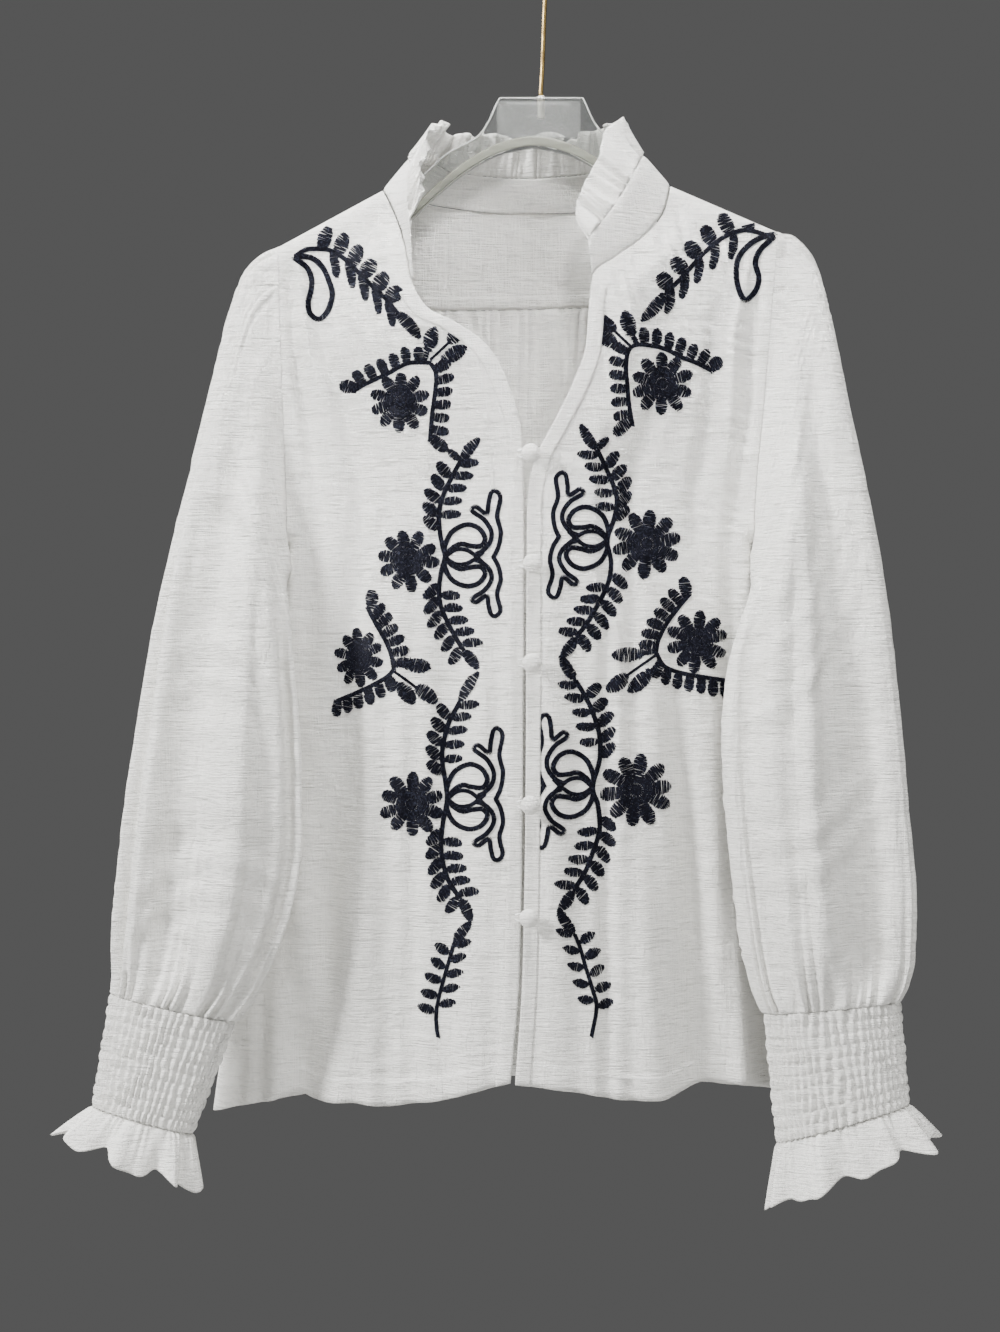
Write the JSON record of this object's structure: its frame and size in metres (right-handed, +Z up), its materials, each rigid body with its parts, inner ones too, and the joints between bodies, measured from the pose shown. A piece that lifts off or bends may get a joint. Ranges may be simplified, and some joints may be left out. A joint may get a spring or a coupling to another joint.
{
  "type": "embroidered blouse on a clear hanger",
  "caption": "Long-sleeved blouse with a ruffled stand collar, smocked cuffs and dark folk embroidery on its fronts, buttoned by loops and hanging on a clear hanger.",
  "frame": {"origin": "inner top of the hook, where it bears on a rail", "axes": "+Z up, the blouse's front faces -Y, +X to the viewer's right, which is the wearer's left"},
  "size_m": [0.5915, 0.1244, 0.8683],
  "materials": {
    "white_crepe": "matt slubbed crepe with soft creases",
    "navy_thread": "raised satin-stitch embroidery thread",
    "clear_acrylic": "clear polished acrylic",
    "pale_ferrule": "satin",
    "brass": "polished"
  },
  "bodies": {
    "root": {"right_front": "white_crepe", "left_front": "white_crepe", "right_placket": "white_crepe", "left_placket": "white_crepe", "back_yoke": "white_crepe", "back": "white_crepe", "right_sleeve": "white_crepe", "left_sleeve": "white_crepe", "right_cuff": "white_crepe", "left_cuff": "white_crepe", "right_cuff_ruffle": "white_crepe", "left_cuff_ruffle": "white_crepe", "collar_band": "white_crepe", "collar_ruffle": "white_crepe", "button_1": "white_crepe", "button_2": "white_crepe", "button_3": "white_crepe", "button_4": "white_crepe", "button_5": "white_crepe", "loop_1": "white_crepe", "loop_2": "white_crepe", "loop_3": "white_crepe", "loop_4": "white_crepe", "loop_5": "white_crepe", "hanger_plate": "clear_acrylic", "ferrule": "pale_ferrule", "hook_rod": "brass"}
  },
  "joints": []
}
